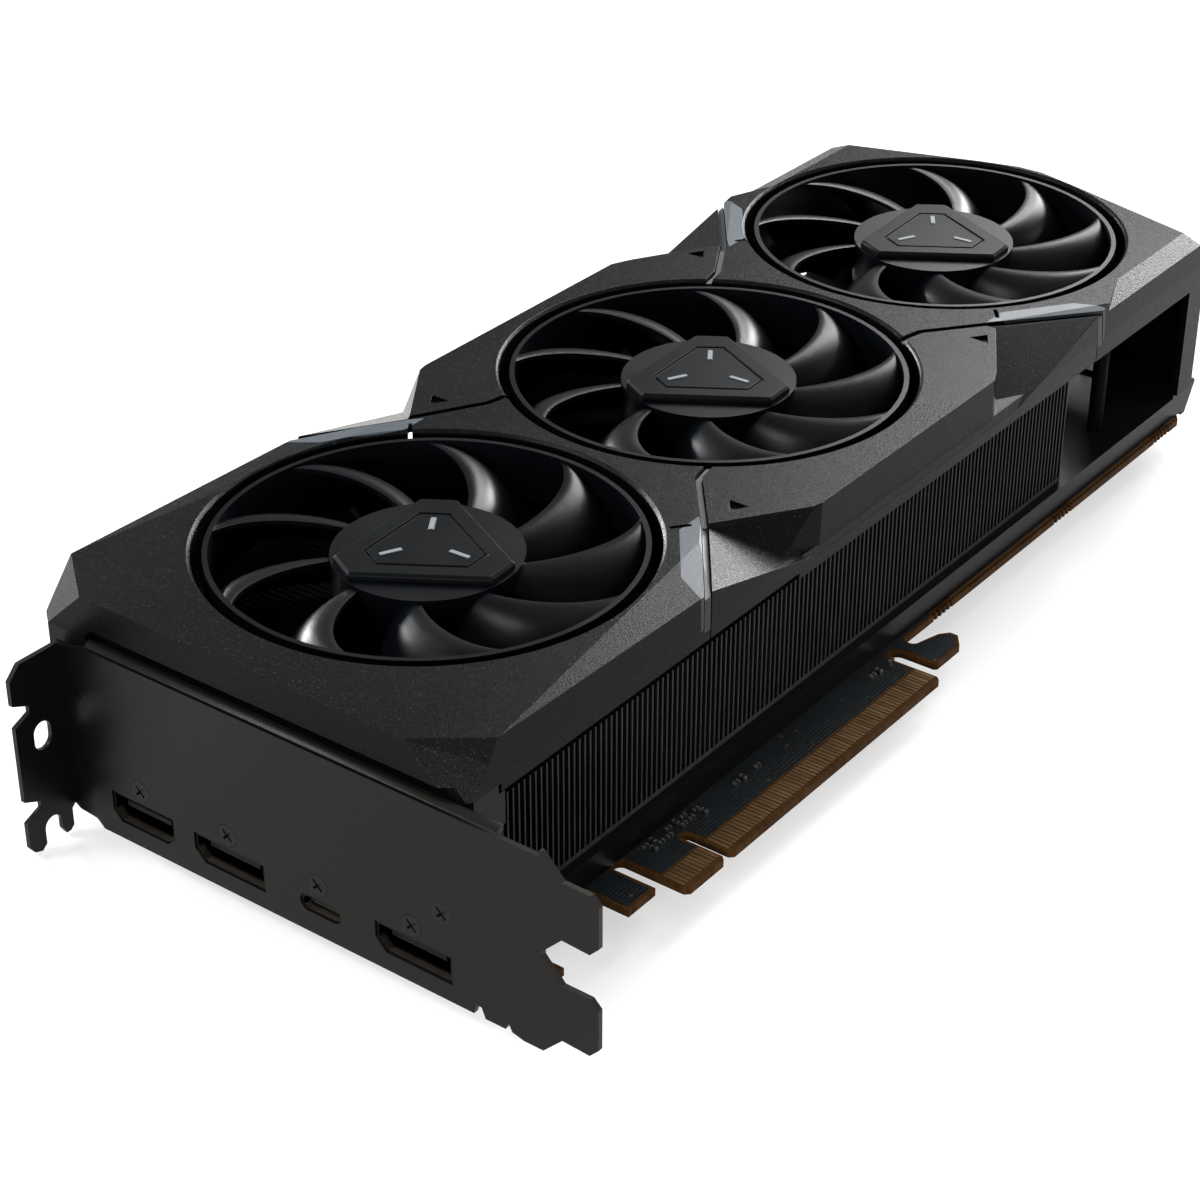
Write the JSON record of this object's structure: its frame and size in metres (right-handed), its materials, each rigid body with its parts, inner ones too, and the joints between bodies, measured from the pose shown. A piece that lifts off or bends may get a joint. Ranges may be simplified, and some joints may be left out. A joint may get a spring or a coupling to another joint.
{
  "type": "graphics card",
  "caption": "Dual-slot graphics card with axial fans that spin in a faceted shroud, a finned cooler, a slot bracket with display ports, and an edge connector.",
  "frame": {"origin": "on the outer face of the slot bracket, at the height of the circuit board's component side, 46.1 mm from the connector's free edge", "axes": "+X from the bracket to the tail along the card, +Y away from the edge connector, +Z from the board towards the fans"},
  "size_m": [0.2866, 0.1256, 0.0509],
  "materials": {
    "bracket_black": "satin",
    "screw_black": "satin",
    "port_shell": "satin",
    "board_copper": "satin",
    "mask_slate": "satin",
    "contact_gold": "satin",
    "chip_dark": "matte",
    "pad_grey": "matte",
    "choke_grey": "matte",
    "can_silver": "satin",
    "socket_black": "satin",
    "pin_tin": "satin",
    "backplate_grey": "satin",
    "spring_steel": "satin",
    "frame_dark": "satin",
    "chamber_copper": "satin",
    "fin_aluminium": "satin",
    "deck_black": "matte",
    "shroud_grey": "satin",
    "wing_grey": "satin",
    "accent_light": "satin",
    "inlay_blue": "satin",
    "rotor_black": "satin",
    "cap_grey": "satin",
    "shaft_steel": "polished",
    "stator_dark": "matte"
  },
  "bodies": {
    "card": {"io_bracket": "bracket_black", "bracket_screws": "screw_black", "port_screws": "screw_black", "hdmi_port": "port_shell", "displayport_ports": "port_shell", "usb_c_port": "port_shell", "circuit_board": "board_copper", "solder_mask": "mask_slate", "edge_contacts": "contact_gold", "edge_components": "chip_dark", "edge_component_ends": "can_silver", "gpu_package": "chip_dark", "memory_chips": "chip_dark", "thermal_pads": "pad_grey", "power_inductors": "choke_grey", "power_stages": "chip_dark", "power_capacitors": "can_silver", "fan_header": "socket_black", "power_sockets": "socket_black", "power_pins": "pin_tin", "backplate": "backplate_grey", "backplate_screws": "screw_black", "spring_bracket": "spring_steel", "spring_screws": "screw_black", "cooler_frame": "frame_dark", "vapour_chamber": "chamber_copper", "fin_stack": "fin_aluminium", "front_end_plate": "frame_dark", "fan_deck": "deck_black", "shroud_front": "shroud_grey", "shroud_rear": "shroud_grey", "wing_panel_near": "wing_grey", "wing_panel_far": "wing_grey", "accent_strips": "accent_light", "inlay_plates": "inlay_blue", "front_fan_stator": "stator_dark", "middle_fan_stator": "stator_dark", "rear_fan_stator": "stator_dark"},
    "fan_front": {"front_fan_rotor": "rotor_black", "front_fan_cap": "cap_grey", "front_fan_shaft": "shaft_steel"},
    "fan_middle": {"middle_fan_rotor": "rotor_black", "middle_fan_cap": "cap_grey", "middle_fan_shaft": "shaft_steel"},
    "fan_rear": {"rear_fan_rotor": "rotor_black", "rear_fan_cap": "cap_grey", "rear_fan_shaft": "shaft_steel"}
  },
  "joints": [
    {"name": "fan_front_spin", "type": "hinge", "parent": "card", "child": "fan_front", "pos_m": [0.05305, 0.0181, 0.0371], "axis": [0, 0, 1], "continuous": true},
    {"name": "fan_middle_spin", "type": "hinge", "parent": "card", "child": "fan_middle", "pos_m": [0.14105, 0.0181, 0.0371], "axis": [0, 0, 1], "continuous": true},
    {"name": "fan_rear_spin", "type": "hinge", "parent": "card", "child": "fan_rear", "pos_m": [0.22905, 0.0181, 0.0371], "axis": [0, 0, 1], "continuous": true}
  ]
}
